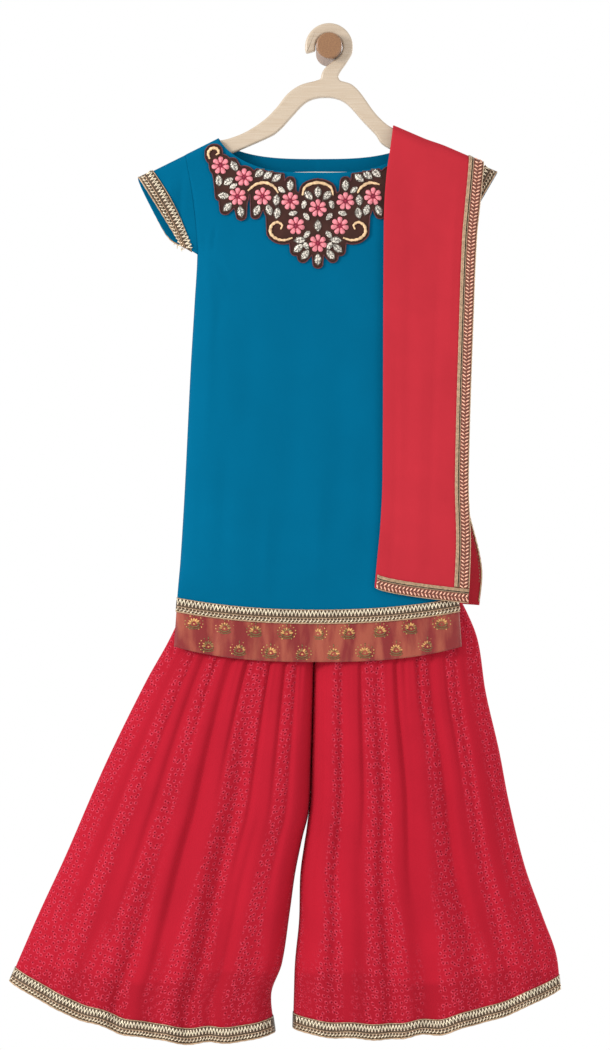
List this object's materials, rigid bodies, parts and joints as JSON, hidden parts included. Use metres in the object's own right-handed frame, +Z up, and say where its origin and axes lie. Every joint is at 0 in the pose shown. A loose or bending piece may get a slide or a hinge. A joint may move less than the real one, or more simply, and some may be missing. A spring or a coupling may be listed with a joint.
{
  "type": "shalwar kameez with dupatta on a wooden hanger and wall peg",
  "caption": "Girl's kurta with cap sleeves, appliqued yoke and brocade hem, flared sharara trousers and a folded dupatta, on a wooden hanger hung from a round wall peg.",
  "frame": {"origin": "middle of the wall peg's back face, on the wall, where the peg holds the hanger and the garments up", "axes": "+X along the wall to the viewer's right, -Y out of the wall towards the viewer, +Z up"},
  "size_m": [0.691, 0.1, 1.2687],
  "materials": {
    "peg_wood": "turned hardwood, brown, satin",
    "hanger_wood": "pale beech board, rounded edges, satin lacquer",
    "blue_crepe": "teal blue crepe, fine matt weave",
    "gold_lace": "woven metallic gold edging lace",
    "brown_velvet": "dark brown velvet with raised embroidered applique",
    "brocade": "shot rust red brocade with small gold woven motifs",
    "red_cotton": "red cotton with small embroidered eyelets",
    "coral_crepe": "coral red crepe, fine and matt"
  },
  "bodies": {
    "root": {"wall_peg": "peg_wood", "hanger": "hanger_wood", "kurta_front": "blue_crepe", "kurta_back": "blue_crepe", "sleeve_left": "blue_crepe", "sleeve_lace_left": "gold_lace", "sleeve_right": "blue_crepe", "sleeve_lace_right": "gold_lace", "neck_patch": "brown_velvet", "hem_lace_front": "gold_lace", "hem_band_front": "brocade", "hem_lace_back": "gold_lace", "hem_band_back": "brocade", "waistband": "red_cotton", "leg_left": "red_cotton", "leg_lace_left": "gold_lace", "leg_right": "red_cotton", "leg_lace_right": "gold_lace", "dupatta_front": "coral_crepe", "dupatta_side_lace_front": "gold_lace", "dupatta_end_lace_front": "gold_lace", "dupatta_back": "coral_crepe", "dupatta_side_lace_back": "gold_lace", "dupatta_end_lace_back": "gold_lace"}
  },
  "joints": []
}
